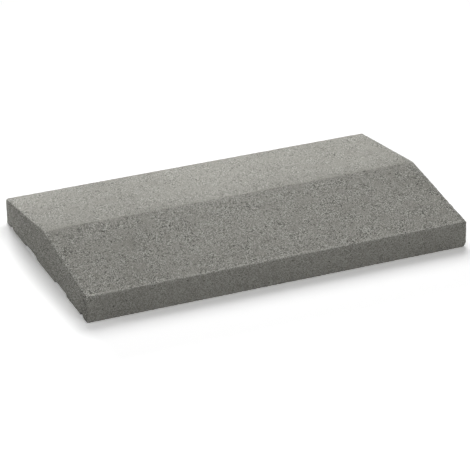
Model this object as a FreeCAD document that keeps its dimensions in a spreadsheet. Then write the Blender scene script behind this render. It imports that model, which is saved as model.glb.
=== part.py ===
import FreeCAD, Part
import math
import os
import Sketcher

# Double-pitched wall coping stone, pressed from concrete in one piece.
# X runs along the ridge, Y across the wall, Z up. The origin is the centre of the underside.
# Lengths are in millimetres, angles in degrees.
driving_sizes = {
    "stone_length": 500,   # along the wall, end face to end face
    "stone_width": 300,    # across the wall, long face to long face
    "edge_height": 34,     # height of the long faces, to the sharp arris
    "ridge_height": 54,    # height of the ridge before it is eased
    "ridge_radius": 15,    # easing of the ridge
    "arris_radius": 1,     # easing of the top arrises and the upright corners
    "lip_width": 15,       # from a long face in to its drip groove
    "drip_width": 9,       # mouth of a drip groove
    "drip_depth": 5,       # drip groove, up to the top of its round crown
    "bed_width": 68,       # flat middle of the underside, between the mortar channels
    "key_width": 42,       # mouth of a mortar channel
    "key_depth": 3.5,      # mortar channel, up to its flat ceiling
    "mould_draft": 16,     # lean of the walls of grooves and channels
}
same_place = 0.01  # two places closer than this are the same

# A sketch counts the ends of a line or an arc as 1 and 2, and its two axes as -1 and -2.
start, end = range(1, 3)
y_axis, z_axis = -start, -end

doc = FreeCAD.newDocument("wall_coping")
sheet = doc.addObject("Spreadsheet::Sheet", "sizes")
for row, (alias, number) in enumerate(driving_sizes.items(), start=1):
    sheet.set(f"A{row}", alias)
    sheet.set(f"B{row}", str(number))
    sheet.setAlias(f"B{row}", alias)
doc.recompute()

stone = doc.addObject("PartDesign::Body", "coping_stone")
stone.Label = "coping_stone"


def size(expression):
    return float(stone.evalExpression(expression))


def origin_plane(role):
    return next(plane for plane in stone.Origin.OriginFeatures if plane.Role == role)


def cross_section(name):
    # A sketch across the stone, with Y to the right and Z up.
    sketch = stone.newObject("Sketcher::SketchObject", name)
    sketch.AttachmentSupport = (origin_plane("YZ_Plane"), [""])
    sketch.MapMode = "FlatFace"
    return sketch


def rule(sketch, *terms):
    return sketch.addConstraint(Sketcher.Constraint(*terms))


def dimension(sketch, name, expression, *terms):
    # A named dimension that follows the sheet.
    value = size(expression)
    if terms[0] == "Angle":
        value = math.radians(value)
    sketch.renameConstraint(rule(sketch, *terms, value), name)
    sketch.setExpression(f"Constraints.{name}", expression)


def draw_chain(sketch, points):
    # Lines joined end to end through the points (y, z).
    corners = [FreeCAD.Vector(y, z, 0) for y, z in points]
    lines = [sketch.addGeometry(Part.LineSegment(*pair)) for pair in zip(corners, corners[1:])]
    for before, after in zip(lines, lines[1:]):
        rule(sketch, "Coincident", before, end, after, start)
    return lines


def groove_section(name, inner, width, depth):
    # A groove open at the underside: its mouth, and two walls that lean together by the mould's draft.
    sketch = cross_section(name)
    near, far, top = size(inner), size(inner) + size(width), size(depth)
    inner_wall, mouth, outer_wall = draw_chain(sketch, [(near, top), (near, 0), (far, 0), (far, top)])
    rule(sketch, "PointOnObject", mouth, start, y_axis)
    rule(sketch, "PointOnObject", mouth, end, y_axis)
    dimension(sketch, "inner_edge", inner, "DistanceX", y_axis, start, mouth, start)
    dimension(sketch, "mouth_width", width, "DistanceX", mouth, start, mouth, end)
    dimension(sketch, "inner_lean", "-(90 + sizes.mould_draft) * 1 deg", "Angle", inner_wall)
    dimension(sketch, "outer_lean", "(90 + sizes.mould_draft) * 1 deg", "Angle", outer_wall)
    return sketch, inner_wall, outer_wall


def cut_through(sketch, name):
    # Runs the sketch out through both end faces.
    pocket = stone.newObject("PartDesign::Pocket", name)
    pocket.Profile = sketch
    pocket.Type = "ThroughAll"
    pocket.SideType = "Symmetric"
    before = stone.Shape.Volume
    doc.recompute()
    if pocket.Shape.Volume >= before:
        raise RuntimeError(f"{name} cut nothing")
    return pocket


def round_edges(name, radius, wanted):
    # Rounds every edge of the stone so far whose middle is wanted.
    base = stone.Tip
    edges = [f"Edge{i}" for i, edge in enumerate(base.Shape.Edges, start=1) if wanted(edge.CenterOfMass)]
    fillet = stone.newObject("PartDesign::Fillet", name)
    fillet.Base = (base, edges)
    fillet.setExpression("Radius", radius)
    doc.recompute()


# Whole section: flat underside, upright long faces and two equal slopes up to the ridge.
side = size("sizes.stone_width / 2")
edge_top = size("sizes.edge_height")
ridge_top = size("sizes.ridge_height")
section = cross_section("stone_section")
underside, back_face, back_slope, front_slope, front_face = draw_chain(section, [
    (-side, 0),
    (side, 0),
    (side, edge_top),
    (0, ridge_top),
    (-side, edge_top),
    (-side, 0),
])
rule(section, "Coincident", front_face, end, underside, start)
rule(section, "Symmetric", underside, start, underside, end, z_axis)
rule(section, "PointOnObject", underside, start, y_axis)
rule(section, "PointOnObject", back_slope, end, z_axis)
rule(section, "Vertical", back_face)
rule(section, "Vertical", front_face)
rule(section, "Equal", back_face, front_face)
dimension(section, "width", "sizes.stone_width", "DistanceX", underside, start, underside, end)
dimension(section, "edge", "sizes.edge_height", "DistanceY", back_face, start, back_face, end)
dimension(section, "ridge", "sizes.ridge_height", "DistanceY", y_axis, start, back_slope, end)

block = stone.newObject("PartDesign::Pad", "stone_block")
block.Profile = section
block.SideType = "Symmetric"
block.setExpression("Length", "sizes.stone_length")
doc.recompute()

# Drip groove of the back overhang: its walls run tangent into a round crown.
drip, inner_wall, outer_wall = groove_section(
    "drip_section",
    "sizes.stone_width / 2 - sizes.lip_width - sizes.drip_width",
    "sizes.drip_width",
    "sizes.drip_depth",
)
drip_middle = side - size("sizes.lip_width + sizes.drip_width / 2")
crown_centre = FreeCAD.Vector(drip_middle, size("sizes.drip_depth"), 0)
crown_circle = Part.Circle(crown_centre, FreeCAD.Vector(0, 0, 1), size("sizes.drip_width / 2"))
crown = drip.addGeometry(Part.ArcOfCircle(crown_circle, 0, math.pi))
rule(drip, "Tangent", outer_wall, end, crown, start)
rule(drip, "Tangent", crown, end, inner_wall, start)
crown_radius = (
    "(sizes.drip_width / 2 * cos(sizes.mould_draft * 1 deg)"
    " - sizes.drip_depth * sin(sizes.mould_draft * 1 deg))"
    " / (1 - sin(sizes.mould_draft * 1 deg))"
)
dimension(drip, "crown_radius", crown_radius, "Radius", crown)
drip_groove = cut_through(drip, "drip_groove")

# Mortar channel of the back half, with a flat ceiling.
key, inner_wall, outer_wall = groove_section(
    "key_section",
    "sizes.bed_width / 2",
    "sizes.key_width",
    "sizes.key_depth",
)
key_inner = size("sizes.bed_width / 2")
key_outer = key_inner + size("sizes.key_width")
key_top = size("sizes.key_depth")
ceiling, = draw_chain(key, [(key_outer, key_top), (key_inner, key_top)])
rule(key, "Coincident", outer_wall, end, ceiling, start)
rule(key, "Coincident", ceiling, end, inner_wall, start)
rule(key, "Horizontal", ceiling)
dimension(key, "depth", "sizes.key_depth", "DistanceY", y_axis, start, ceiling, start)
key_channel = cut_through(key, "key_channel")

# The front half has the same groove and channel.
front_half = stone.newObject("PartDesign::Mirrored", "front_half")
front_half.Originals = [drip_groove, key_channel]
front_half.MirrorPlane = (origin_plane("XZ_Plane"), [""])
stone.Tip = front_half
doc.recompute()

# The ridge is eased first, then the top arrises and the four upright corners.
stone_end = size("sizes.stone_length / 2")


def is_ridge(middle):
    return abs(middle.z - ridge_top) < same_place


def is_arris(middle):
    # An arris lies on two of the end faces, the long faces and the top.
    at_end = abs(abs(middle.x) - stone_end) < same_place
    at_side = abs(abs(middle.y) - side) < same_place
    at_top = middle.z > edge_top - same_place
    return (at_end and at_side) or (at_end and at_top) or (at_side and at_top)


round_edges("eased_ridge", "sizes.ridge_radius", is_ridge)
round_edges("eased_arrises", "sizes.arris_radius", is_arris)

for item in doc.Objects:
    if "Invalid" in item.State or "Error" in item.State:
        raise RuntimeError(f"{item.Name} failed")
if stone.Shape.isNull() or not stone.Shape.isValid():
    raise RuntimeError("the stone is not a valid solid")
print(f"coping stone: {stone.Shape.Volume / 1e6:.3f} litres, {len(stone.Shape.Faces)} faces")

os.makedirs("parts", exist_ok=True)
stone.Shape.exportStep(f"parts/{stone.Label}.step")
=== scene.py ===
import math
import random

import bmesh
import bpy
from mathutils import Matrix, Vector, noise


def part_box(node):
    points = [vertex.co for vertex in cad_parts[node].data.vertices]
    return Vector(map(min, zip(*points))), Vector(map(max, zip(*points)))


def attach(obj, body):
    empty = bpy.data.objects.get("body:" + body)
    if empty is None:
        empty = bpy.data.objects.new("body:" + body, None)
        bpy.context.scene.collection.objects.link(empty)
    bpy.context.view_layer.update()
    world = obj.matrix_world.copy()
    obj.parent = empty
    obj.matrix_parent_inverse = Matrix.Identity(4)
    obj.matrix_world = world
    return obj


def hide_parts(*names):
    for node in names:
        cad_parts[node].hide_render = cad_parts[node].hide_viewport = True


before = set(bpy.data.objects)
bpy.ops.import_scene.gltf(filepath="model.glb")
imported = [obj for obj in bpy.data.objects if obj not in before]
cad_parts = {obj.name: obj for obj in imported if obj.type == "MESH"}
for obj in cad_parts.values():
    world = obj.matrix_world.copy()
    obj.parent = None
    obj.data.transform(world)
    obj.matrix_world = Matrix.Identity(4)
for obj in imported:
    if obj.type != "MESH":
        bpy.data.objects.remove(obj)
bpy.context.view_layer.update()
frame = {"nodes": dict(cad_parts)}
print("frame loaded:", ", ".join(frame["nodes"]))

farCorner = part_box("coping_stone")[1]
halfLength = farCorner.x
halfWidth = farCorner.y
samePlace = 1e-6  # metres, two places closer than this are the same
onCut = 1e-7      # metres, what lies this close to a cut is on it
facing = 0.5      # a surface faces the way in which its normal reaches this far


def toMesh(bm, name):
    mesh = bpy.data.meshes.new(name)
    bm.to_mesh(mesh)
    bm.free()
    return mesh


def addObject(name, data):
    added = bpy.data.objects.new(name, data)
    bpy.context.scene.collection.objects.link(added)
    return added


# the stone as it is pressed, metres and degrees
pressing = {
    "edgeHeight": 0.034,         # long faces, up to the sharp arris
    "ridgeHeight": 0.054,        # before it is eased
    "ridgeEasing": (0.015, 3),   # along the ridge: radius, facets
    "arrisEasing": (0.001, 3),   # top arrises and upright corners: radius, facets
    "lipWidth": 0.015,           # long face to drip groove
    "dripWidth": 0.009,
    "dripDepth": 0.005,
    "dripEasing": (0.00288, 4),  # roof of a drip groove: how far from its corners, facets
    "bedWidth": 0.068,           # flat middle of the underside
    "keyWidth": 0.042,           # mortar channels beside it
    "keyDepth": 0.0035,
    "mouldDraft": 16,            # lean of the walls of grooves and channels
    "topStep": 0.0018,           # grid for the relief, on the slopes and ends
    "bedStep": 0.006,            # coarser across the underside
    "leastStep": 0.0002,         # slivers beside the outlines are closed
    "sharpFrom": 35,             # edges that turn by more are shaded sharp
}
topSlope = math.atan2(pressing["ridgeHeight"] - pressing["edgeHeight"], halfWidth)


def halfOutline(size):
    # half of the section, from the flat middle of the underside out to the top arris
    lean = math.tan(math.radians(size["mouldDraft"]))
    keyInner = size["bedWidth"] / 2
    keyOuter = keyInner + size["keyWidth"]
    dripOuter = halfWidth - size["lipWidth"]
    dripInner = dripOuter - size["dripWidth"]
    keyRun, dripRun = lean * size["keyDepth"], lean * size["dripDepth"]
    return [
        (keyInner, 0), (keyInner + keyRun, size["keyDepth"]),
        (keyOuter - keyRun, size["keyDepth"]), (keyOuter, 0),
        (dripInner, 0), (dripInner + dripRun, size["dripDepth"]),
        (dripOuter - dripRun, size["dripDepth"]), (dripOuter, 0),
        (halfWidth, 0), (halfWidth, size["edgeHeight"]),
    ]


def edgesWhere(bm, wanted):
    return [edge for edge in bm.edges if wanted((edge.verts[0].co + edge.verts[1].co) / 2)]


def ease(bm, edges, offset, facets):
    bmesh.ops.bevel(bm, geom=edges, offset=offset, offset_type="OFFSET", segments=facets,
                    profile=0.5, affect="EDGES", clamp_overlap=True, material=-1)


def easeBlock(bm, size):
    def isRidge(middle):
        return middle.z > size["ridgeHeight"] - samePlace

    def isDripRoof(middle):
        return abs(middle.z - size["dripDepth"]) < samePlace and abs(middle.x) < samePlace

    def isArris(middle):
        atEnd = abs(abs(middle.x) - halfLength) < samePlace
        atSide = abs(abs(middle.y) - halfWidth) < samePlace
        atTop = middle.z > size["edgeHeight"] - samePlace
        return atEnd + atSide + atTop > 1

    radius, facets = size["ridgeEasing"]
    ease(bm, edgesWhere(bm, isRidge), radius * math.tan(topSlope), facets)
    ease(bm, edgesWhere(bm, isDripRoof), *size["dripEasing"])
    ease(bm, edgesWhere(bm, isArris), *size["arrisEasing"])


def slices(low, high, step):
    count = max(1, round((high - low) / step))
    return [low + (high - low) * index / count for index in range(count + 1)]


def sliceFaces(bm, faces, normal, places):
    # only these faces are cut, the rest of the block keeps its long strips
    verts = dict.fromkeys(vert for face in faces for vert in face.verts)
    edges = dict.fromkeys(edge for face in faces for edge in face.edges)
    geom = [*verts, *edges, *faces]
    for place in places:
        cut = bmesh.ops.bisect_plane(bm, geom=geom, dist=onCut, plane_co=normal * place, plane_no=normal)
        geom = cut["geom"]


def cutGrid(bm, size):
    # the long strips and the ends get a grid that is fine enough for the relief
    inset = size["arrisEasing"][0]
    across = slices(-halfWidth + inset, halfWidth - inset, size["topStep"])
    upwards = slices(0, size["ridgeHeight"], size["topStep"])
    bedAcross = slices(-halfWidth, halfWidth, size["bedStep"])
    yAxis, zAxis = Vector((0, 1, 0)), Vector((0, 0, 1))
    sliceFaces(bm, [face for face in bm.faces if face.normal.z > -facing], yAxis, across)
    sliceFaces(bm, [face for face in bm.faces if abs(face.normal.z) < facing], zAxis, upwards[1:-1])
    sliceFaces(bm, [face for face in bm.faces if face.normal.z < -facing], yAxis, bedAcross[1:-1])
    longEdges = [edge for edge in bm.edges if edge.calc_length() > halfLength]
    bmesh.ops.subdivide_edges(bm, edges=longEdges, cuts=round(2 * halfLength / size["topStep"]))
    bmesh.ops.dissolve_degenerate(bm, dist=size["leastStep"], edges=bm.edges)
    needless = [vert for vert in bm.verts if len(vert.link_edges) == 2]  # they only divide a line
    bmesh.ops.dissolve_verts(bm, verts=needless)


def pressBlock(size):
    bm = bmesh.new()
    half = halfOutline(size)
    outline = half + [(0, size["ridgeHeight"])] + [(-y, z) for y, z in reversed(half)]
    section = bm.faces.new([bm.verts.new((-halfLength, y, z)) for y, z in outline])
    swept = bmesh.ops.extrude_face_region(bm, geom=[section])["geom"]
    sweptVerts = [item for item in swept if isinstance(item, bmesh.types.BMVert)]
    bmesh.ops.translate(bm, verts=sweptVerts, vec=(2 * halfLength, 0, 0))
    bmesh.ops.recalc_face_normals(bm, faces=bm.faces)
    easeBlock(bm, size)
    print("block pressed:", len(bm.faces), "faces")

    cutGrid(bm, size)
    for face in bm.faces:
        face.smooth = True
    for edge in bm.edges:
        edge.smooth = edge.calc_face_angle() < math.radians(size["sharpFrom"])
    print("grid cut:", len(bm.faces), "faces")
    return bm


# how the surface falls back from the pressed block and changes its tone, by wear and by painted light and
# shade: metres, noise scales per metre
wear = {
    "seed": 41,
    "lotsPerMetre": 10000,                 # random lots are drawn anew for each tenth of a millimetre
    "sway": (16, 0.00008),                 # slow unevenness: noise scale, depth
    "patches": (50, 0.60),                 # smooth skin and open grain: noise scale, contrast
    "patchDetail": (2.3, 0.6),             # finer noise in them: times the scale, weight
    "skinsAndPaintedShade": {                             # per face: grain where closed, more where open, share of lost grains, tone; partly painted shading, with more contrast, more dark pits and a darker tone on the near slope, and paler long faces
        "nearSlope": (0.65, 2.08, 0.062, -0.007),
        "backSlope": (0.68, 1.32, 0.045, 0.004),
        "longFace": (0.82, 0.55, 0.003, 0.016),
        "end": (1.40, 1.20, 0.026, 0.000),
    },
    "sand": 0.00012,                       # grain, drawn anew at each point of the grid
    "pits": (0.3, 0.00060),                # beds of lost grains: share of the depth at least, depth
    "shift": 0.00045,                      # sideways, so that the grain shows no rows
    "shiftFrom": 0.010,                    # not below this height, where the grooves keep their lines
    "ridgeReach": 0.0045,                  # beside the ridge
    "ridgeClosing": 0.7,                   # the skin is closed there
    "ridgeSway": (45, 0.0012),             # and the ridge isn't quite straight: noise scale, sideways
    "arrisReach": 0.0020,                  # how far the wear of an arris reaches in
    "arrisGrain": (480, -0.20, 0.00040),   # crumbled arrises: noise scale, level it starts at, depth
    "arrisCrumbs": (85, 0.38, 0.00050),    # now and then a larger crumb is gone
    "endGrain": (330, -0.20, 0.00080),     # more crumbled along the top of the ends
    "endReach": 0.0040,                    # this close to it
    "endOpen": (0.0050, 1.20),             # where the grain is open too: reach, contrast
    "nicks": [                             # worn corners and a chip: place, reach, depth
        ((0.250, -0.150, 0.000), 0.0050, 0.0018),
        ((-0.250, 0.150, 0.034), 0.0035, 0.0006),
        ((-0.250, -0.0265, 0.0505), 0.0050, 0.0014),
    ],
    "rub": (0.0045, 0.020),                # paler skin beside an arris: reach, tone
    "frontRubAndHighlight": (0.0032, 0.0020, 0.110),   # more along the front of the near slope, partly wear and partly a painted highlight: how far in, reach, tone
    "cornerRubAndHighlight": (0.022, 0.180),           # and most at its left corner, partly wear and partly a painted highlight: reach, tone
    "ridgePaintedShade": (0.026, -0.050, 0.012),  # painted shading beside the ridge, darker behind it and paler before it, as a rounded crest would be lit: reach, tone behind it and before it
    "endTone": (0.006, -0.045),            # beside the top arrises of the ends: reach, tone
    "lipTone": (0.014, -0.230),            # on the ends, towards the front: reach, tone
    "stainsAndPaintedLight": [                            # slow changes of tone, partly stains and partly painted light and shade, such as the paler back of the visible end: place, reach, tone
        ((-0.200, -0.150, 0.010), 0.050, -0.022),
        ((-0.250, -0.070, 0.044), 0.060, -0.030),
        ((-0.250, 0.150, 0.000), 0.070, 0.120),
        ((-0.210, 0.110, 0.040), 0.110, -0.060),
        ((-0.020, -0.030, 0.050), 0.080, 0.045),
        ((0.250, 0.000, 0.054), 0.060, -0.030),
    ],
}


def fade(distance, reach):
    return math.exp(-(distance / reach) ** 2)


def falling(distance, setting):
    reach, change = setting
    return change * fade(distance, reach)


def outerPlanes(place):
    # end, long face, top and bed nearest to a place: how far inside it lies, and which way is out
    toEnd, toSide = math.copysign(1, place.x), math.copysign(1, place.y)
    fromTop = pressing["ridgeHeight"] - abs(place.y) * math.tan(topSlope) - place.z
    return [
        (halfLength - abs(place.x), Vector((toEnd, 0, 0))),
        (halfWidth - abs(place.y), Vector((0, toSide, 0))),
        (fromTop, Vector((0, toSide * math.sin(topSlope), math.cos(topSlope)))),
        (place.z, Vector((0, 0, -1))),
    ]


def wayOut(planes, normal, arris):
    # an arris wears straight across, so its rounding doesn't fold over
    across = sum((out * fade(distance, wear["arrisReach"]) for distance, out in planes), Vector())
    return (normal * (1 - arris) + across.normalized() * arris).normalized()


def skinAndShadeAt(place, normal):
    # contrast of the grain, share of lost grains, tone; per face partly painted shading
    if abs(normal.x) > facing:
        face = "end"
    elif abs(normal.z) < facing:
        face = "longFace"
    else:
        face = "nearSlope" if place.y < 0 else "backSlope"
    closed, further, lost, tone = wear["skinsAndPaintedShade"][face]
    scale, contrast = wear["patches"]
    finer, weight = wear["patchDetail"]
    patch = noise.noise(place * scale) + weight * noise.noise(place * scale * finer)
    opened = min(1, max(0, 0.5 + contrast * patch))  # a half on average
    if abs(normal.z) > facing:
        opened *= 1 - wear["ridgeClosing"] * fade(place.y, wear["ridgeReach"])
    return closed + further * opened, 2 * lost * opened, tone


def grainDepth(place, contrast, lost, grainLot, lostLot):
    scale, swing = wear["sway"]
    depth = swing * (0.5 + 0.5 * noise.noise(place * scale))
    depth += wear["sand"] * contrast * grainLot
    if lostLot < lost:
        least, deepest = wear["pits"]
        depth += (least + (1 - least) * lostLot / lost) * deepest
    return depth


def crumbled(place, setting):
    scale, start, depth = setting
    return depth * max(0, noise.noise(place * scale) - start)


def arrisDepth(place, endEdge):
    grain = wear["endGrain"] if endEdge < wear["endReach"] else wear["arrisGrain"]
    return crumbled(place, grain) + crumbled(place, wear["arrisCrumbs"])


def nickDepth(place):
    depth = 0
    for spot, reach, deepest in wear["nicks"]:
        away = (place - Vector(spot)).length / reach
        if away < 1:
            depth += deepest * (1 - away * away) ** 2
    return depth


def sideways(place, normal, lots, share):
    # along the surface: both ways on the slopes, up and down on upright faces
    if place.z < wear["shiftFrom"]:
        return Vector()
    first, second = (lot - 0.5 for lot in lots)
    aside = Vector((0, 0, first)) if abs(normal.z) < facing else Vector((first, second, 0))
    return (aside - normal * aside.dot(normal)) * (2 * wear["shift"] * share)


def slowTone(place, normal, edge, endEdge):
    fromFront, fromLeft = place.y + halfWidth, place.x + halfLength
    tone = falling(edge, wear["rub"]) + falling(endEdge, wear["endTone"])
    if normal.z > facing:
        # a paler rim along the front arris: partly wear, partly a painted highlight, strongest at the left
        # corner
        inwards, reach, paleRimAndHighlight = wear["frontRubAndHighlight"]
        tone += (paleRimAndHighlight + falling(fromLeft, wear["cornerRubAndHighlight"])) * fade(fromFront - inwards, reach)
        # painted shading: darker just behind the ridge, paler just before it
        reach, behind, before = wear["ridgePaintedShade"]
        tone += (behind if place.y > 0 else before) * fade(place.y, reach)
    if abs(normal.x) > facing:
        tone += falling(fromFront, wear["lipTone"])
    # stains, and painted light and shade: soft spots made paler or darker
    for spot, reach, change in wear["stainsAndPaintedLight"]:
        tone += change * fade((place - Vector(spot)).length, reach)
    return tone


def lotsAt(place):
    # drawn from the place itself, so the order of the points has no say
    spot = [round(part * wear["lotsPerMetre"]) for part in place]
    draw = random.Random(f"{wear['seed']} {spot}")
    return [draw.random() for lot in range(4)]  # for the grain, a lost grain and two ways aside


def roughen(bm):
    # moves each point of the grid, and keeps what the concrete reads there
    layers = [bm.verts.layers.float.new(name) for name in ("grain", "lost", "tone")]
    bm.normal_update()
    for vert in bm.verts:
        place, normal = vert.co.copy(), vert.normal.copy()
        grainLot, lostLot, *asideLots = lotsAt(place)
        planes = outerPlanes(place)
        fromEnd, fromSide, fromTop, fromBed = (distance for distance, out in planes)
        edge = sorted((fromEnd, fromSide, fromTop, fromBed))[1]  # across the nearest arris
        endEdge = max(fromEnd, fromTop)                          # from the top arris of an end
        arris, ridge = fade(edge, wear["arrisReach"]), fade(place.y, wear["ridgeReach"])

        contrast, lost, tone = skinAndShadeAt(place, normal)
        contrast += falling(endEdge, wear["endOpen"])
        lost *= 1 - arris
        tone += slowTone(place, normal, edge, endEdge)
        for layer, value in zip(layers, (contrast, lost, tone)):
            vert[layer] = value

        depth = grainDepth(place, contrast, lost, grainLot, lostLot)
        depth += arris * arrisDepth(place, endEdge)
        depth += nickDepth(place)
        aside = sideways(place, normal, asideLots, (1 - arris) * (1 - ridge))
        vert.co = place - wayOut(planes, normal, arris) * depth + aside
        if normal.z > facing:
            scale, swing = wear["ridgeSway"]
            vert.co.y += swing * ridge * (1 - arris) * noise.noise(place * scale)


block = pressBlock(pressing)
roughen(block)
stone = addObject("coping_stone_surface", toMesh(block, "copingStoneFace"))
print("stone roughened:", len(stone.data.vertices), "vertices")


# pressed concrete: colours are linear, scales per metre
concrete = {
    "dark": (0.060, 0.059, 0.053, 1),
    "body": (0.290, 0.285, 0.256, 1),
    "light": (0.630, 0.625, 0.581, 1),
    "grains": (1600, 0.52),      # grains of sand: scale, weight in the tone
    "paste": (2400, 1, 0.62),    # cement between them: scale, detail, weight
    "evenTone": 0.585,           # what these two add on average, taken off again
    "blotches": (34, 2, 0.085),  # scale, detail, weight
    "clouds": (9, 2, 0.090),     # larger ones
    "pitShade": (720, -0.45),      # painted shade in the beds of lost grains: scale, tone
    "noiseRoughness": 0.55,
    "grainRelief": -0.7,         # grains stand out of the paste, and fall off from their middles
    "bump": (0.6, 0.0005),       # strength, depth in metres
    "roughness": 0.95,
    "gloss": 0.05,
}


def addNode(tree, kind, sockets=None, **settings):
    node = tree.nodes.new(kind)
    for name, value in settings.items():
        setattr(node, name, value)
    for name, value in (sockets or {}).items():
        if isinstance(value, bpy.types.NodeSocket):
            tree.links.new(value, node.inputs[name])
        else:
            node.inputs[name].default_value = value
    return node


def newMaterial(name):
    material = bpy.data.materials.new(name)
    material.use_nodes = True
    material.node_tree.nodes.clear()
    return material, material.node_tree


def weighted(tree, value, weight, add):
    # value * weight + add
    sockets = {0: value, 1: weight, 2: add}
    return addNode(tree, "ShaderNodeMath", sockets, operation="MULTIPLY_ADD").outputs[0]


def concreteMaterial(look):
    material, tree = newMaterial("pressedConcrete")
    place = addNode(tree, "ShaderNodeTexCoord").outputs["Object"]

    def noiseAt(scale, detail):
        sockets = {"Vector": place, "Scale": scale, "Detail": detail, "Roughness": look["noiseRoughness"]}
        return addNode(tree, "ShaderNodeTexNoise", sockets).outputs[0]

    def cellsAt(scale):
        # how far from the middle of a cell, and a level drawn for each cell
        cells = addNode(tree, "ShaderNodeTexVoronoi", {"Vector": place, "Scale": scale}).outputs
        level = addNode(tree, "ShaderNodeSeparateColor", {0: cells["Color"]}).outputs[0]
        return cells["Distance"], level

    def attribute(name):
        return addNode(tree, "ShaderNodeAttribute", attribute_name=name).outputs["Fac"]

    grainScale, grainWeight = look["grains"]
    pasteScale, pasteDetail, pasteWeight = look["paste"]
    pitShadeScale, pitShadeTone = look["pitShade"]
    paste = noiseAt(pasteScale, pasteDetail)
    grainDistance, grainLevel = cellsAt(grainScale)
    lot = cellsAt(pitShadeScale)[1]
    pitShadeMask = addNode(tree, "ShaderNodeMath", {0: lot, 1: attribute("lost")}, operation="LESS_THAN").outputs[0]

    # tone: 0 is dark, the middle is the body's colour, 1 is light
    middle = 0.5
    grain = weighted(tree, grainLevel, grainWeight, -look["evenTone"])
    grain = weighted(tree, paste, pasteWeight, grain)
    # the grain attribute sets the contrast, per face partly as painted shading
    tone = weighted(tree, grain, attribute("grain"), middle)
    # the tone attribute holds wear and stains together with painted light and shade
    tone = weighted(tree, attribute("tone"), 1, tone)
    # painted shade in the pits: where a grain is lost, its cell is darkened
    tone = weighted(tree, pitShadeMask, pitShadeTone, tone)
    for scale, detail, weight in (look["blotches"], look["clouds"]):
        level = weighted(tree, tone, 1, -weight * middle)  # they darken as much as they lighten
        tone = weighted(tree, noiseAt(scale, detail), weight, level)
    ramp = addNode(tree, "ShaderNodeValToRGB", {0: tone})
    stops = ramp.color_ramp.elements
    stops[0].color = look["dark"]
    stops[1].color = look["light"]
    stops.new(middle).color = look["body"]

    height = weighted(tree, grainDistance, look["grainRelief"], paste)
    strength, depth = look["bump"]
    bump = addNode(tree, "ShaderNodeBump", {"Height": height, "Strength": strength, "Distance": depth})
    shader = addNode(tree, "ShaderNodeBsdfPrincipled", {
        "Base Color": ramp.outputs[0],
        "Roughness": look["roughness"],
        "Specular IOR Level": look["gloss"],
        "Normal": bump.outputs[0],
    })
    addNode(tree, "ShaderNodeOutputMaterial", {"Surface": shader.outputs[0]})
    return material


stone.data.materials.append(concreteMaterial(concrete))
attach(stone, "root")
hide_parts("coping_stone")
print("concrete made")


# the photograph's place: looking down on the stone past its left end
camera = {
    "azimuth": -22.58,   # degrees
    "elevation": 25.93,
    "roll": -0.74,
    "distance": 3.199,   # metres, from the centre of the bed
    "aside": 0.00157,
    "above": -0.00091,
    "lens": 194.92,      # millimetres, on this sensor
    "sensor": 36,
    "clip": (0.1, 100),  # metres
}


def placeCamera(view):
    turn, lift, roll = (math.radians(view[angle]) for angle in ("azimuth", "elevation", "roll"))
    back = Vector((math.sin(turn) * math.cos(lift), -math.cos(turn) * math.cos(lift), math.sin(lift)))
    level = Vector((math.cos(turn), math.sin(turn), 0))
    upward = back.cross(level)
    place = back * view["distance"] + level * view["aside"] + upward * view["above"]
    side = level * math.cos(roll) + upward * math.sin(roll)
    data = bpy.data.cameras.new("photoCamera")
    data.sensor_width, data.lens = view["sensor"], view["lens"]
    data.clip_start, data.clip_end = view["clip"]
    holder = addObject("photoCamera", data)
    axes = Matrix((side, back.cross(side), back)).transposed().to_4x4()
    holder.matrix_world = Matrix.Translation(place) @ axes
    bpy.context.scene.camera = holder


placeCamera(camera)
print("camera placed")


# plain studio: a soft box high behind, a low panel behind, two fills, a pale floor
studio = {
    # bearing from straight back and height in degrees, distance and side in metres, level on the stone
    "lamps": {
        "softBox": (24, 52, 1.8, 1.2, 0.581),
        "backPanel": (0, 12, 2.0, 0.6, 1.310),
        "leftFill": (-90, 20, 2.0, 1.0, 0.215),
        "frontFill": (180, 30, 2.0, 1.6, 0.275),
    },
    "aim": (0, 0, 0.03),
    "allRound": 0.184,                         # level of the world's own light
    "floorSize": 30,
    "floorTone": 0.5,                          # as it lights the stone
    "floorSeen": (1.39, 1.00),                 # as it is seen, near and far, white under this light
    "floorFade": ((0.12, 1, 0), -0.10, 0.10),  # direction from near to far, start and end in metres
    "bedPaintedLight": 2.2,                            # painted light: the floor under the stone is seen paler, so its shadow is lifted where it shows through the grooves
    "whiteFrom": (0.45, 0.90),                 # past the shadow the floor is seen plain white, metres
}


def grey(level):
    return (level, level, level, 1)


def seenRays(tree):
    # rays that show the background as it looks: to the camera, in gloss and through glass
    rays = addNode(tree, "ShaderNodeLightPath").outputs
    seen = rays["Is Camera Ray"]
    for name in ("Is Glossy Ray", "Is Transmission Ray"):
        seen = addNode(tree, "ShaderNodeMath", {0: seen, 1: rays[name]}, operation="MAXIMUM").outputs[0]
    return seen


def addLamp(name, lamp, aim):
    bearing, height, distance, side, level = lamp
    turn, lift = math.radians(bearing), math.radians(height)
    direction = Vector((math.sin(turn) * math.cos(lift), math.cos(turn) * math.cos(lift), math.sin(lift)))
    data = bpy.data.lights.new(name, "AREA")
    data.shape, data.size = "SQUARE", side
    data.energy = level * (math.pi * distance) ** 2  # a white face turned to it is seen at this level
    holder = addObject(name, data)
    holder.location = Vector(aim) + direction * distance
    holder.rotation_euler = direction.to_track_quat("Z", "Y").to_euler()


def lightWorld(level):
    world = bpy.data.worlds.new("studioWorld")
    bpy.context.scene.world = world
    world.use_nodes = True
    tree = world.node_tree
    tree.nodes.clear()
    strength = addNode(tree, "ShaderNodeMapRange", {"Value": seenRays(tree), "To Min": level, "To Max": 1})
    shade = addNode(tree, "ShaderNodeBackground", {"Color": grey(1), "Strength": strength.outputs[0]})
    addNode(tree, "ShaderNodeOutputWorld", {"Surface": shade.outputs[0]})


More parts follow.
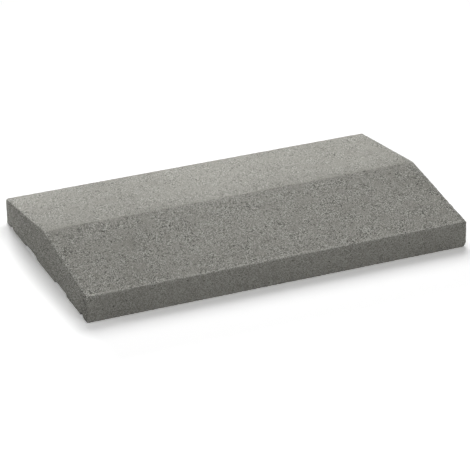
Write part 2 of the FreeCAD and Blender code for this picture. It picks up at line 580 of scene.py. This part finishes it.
def floorMaterial(name, setup, seenTone):
    # seenTone(tree) gives the colour that is seen, and the plain tone is what lights the stone
    material, tree = newMaterial(name)
    place = addNode(tree, "ShaderNodeTexCoord").outputs["Object"]
    away = addNode(tree, "ShaderNodeVectorMath", {0: place}, operation="LENGTH").outputs["Value"]
    start, end = setup["whiteFrom"]
    far = addNode(tree, "ShaderNodeMapRange", {"Value": away, "From Min": start, "From Max": end}).outputs[0]
    plain = addNode(tree, "ShaderNodeBsdfDiffuse", {"Color": grey(setup["floorTone"])})
    pale = addNode(tree, "ShaderNodeBsdfDiffuse", {"Color": seenTone(tree)})
    white = addNode(tree, "ShaderNodeEmission", {"Color": grey(1), "Strength": 1})
    shown = addNode(tree, "ShaderNodeMixShader", {0: far, 1: pale.outputs[0], 2: white.outputs[0]})
    mix = addNode(tree, "ShaderNodeMixShader", {0: seenRays(tree), 1: plain.outputs[0], 2: shown.outputs[0]})
    addNode(tree, "ShaderNodeOutputMaterial", {"Surface": mix.outputs[0]})
    return material


def layFloor(setup):
    def gradedTone(tree):
        direction, start, end = setup["floorFade"]
        near, far = setup["floorSeen"]
        place = addNode(tree, "ShaderNodeTexCoord").outputs["Object"]
        along = addNode(tree, "ShaderNodeVectorMath", {0: place, 1: direction}, operation="DOT_PRODUCT")
        sockets = {"Value": along.outputs["Value"], "From Min": start, "From Max": end,
                   "To Min": near, "To Max": far}
        return addNode(tree, "ShaderNodeMapRange", sockets).outputs[0]

    # painted light on the floor under the stone
    def bedPaintedLightTone(tree):
        return grey(setup["bedPaintedLight"])

    # three by three faces, the middle one lies under the stone
    bm = bmesh.new()
    bmesh.ops.create_grid(bm, x_segments=3, y_segments=3, size=1)
    outerRow = 0.5  # the outer rows of points lie past this, at 1, and the inner ones at a third
    for vert in bm.verts:
        for axis, inner in enumerate((halfLength, halfWidth)):
            reach = setup["floorSize"] / 2 if abs(vert.co[axis]) > outerRow else inner
            vert.co[axis] = math.copysign(reach, vert.co[axis])
    for face in bm.faces:
        face.material_index = int(face.calc_center_median().length < halfWidth)
    floor = addObject("studioFloor", toMesh(bm, "studioFloor"))
    floor.data.materials.append(floorMaterial("paleFloor", setup, gradedTone))
    floor.data.materials.append(floorMaterial("bedFloorPaintedLight", setup, bedPaintedLightTone))


for lampName, lamp in studio["lamps"].items():
    addLamp(lampName, lamp, studio["aim"])
lightWorld(studio["allRound"])
layFloor(studio)
bpy.context.scene.view_settings.view_transform = "Standard"
print("studio lit")
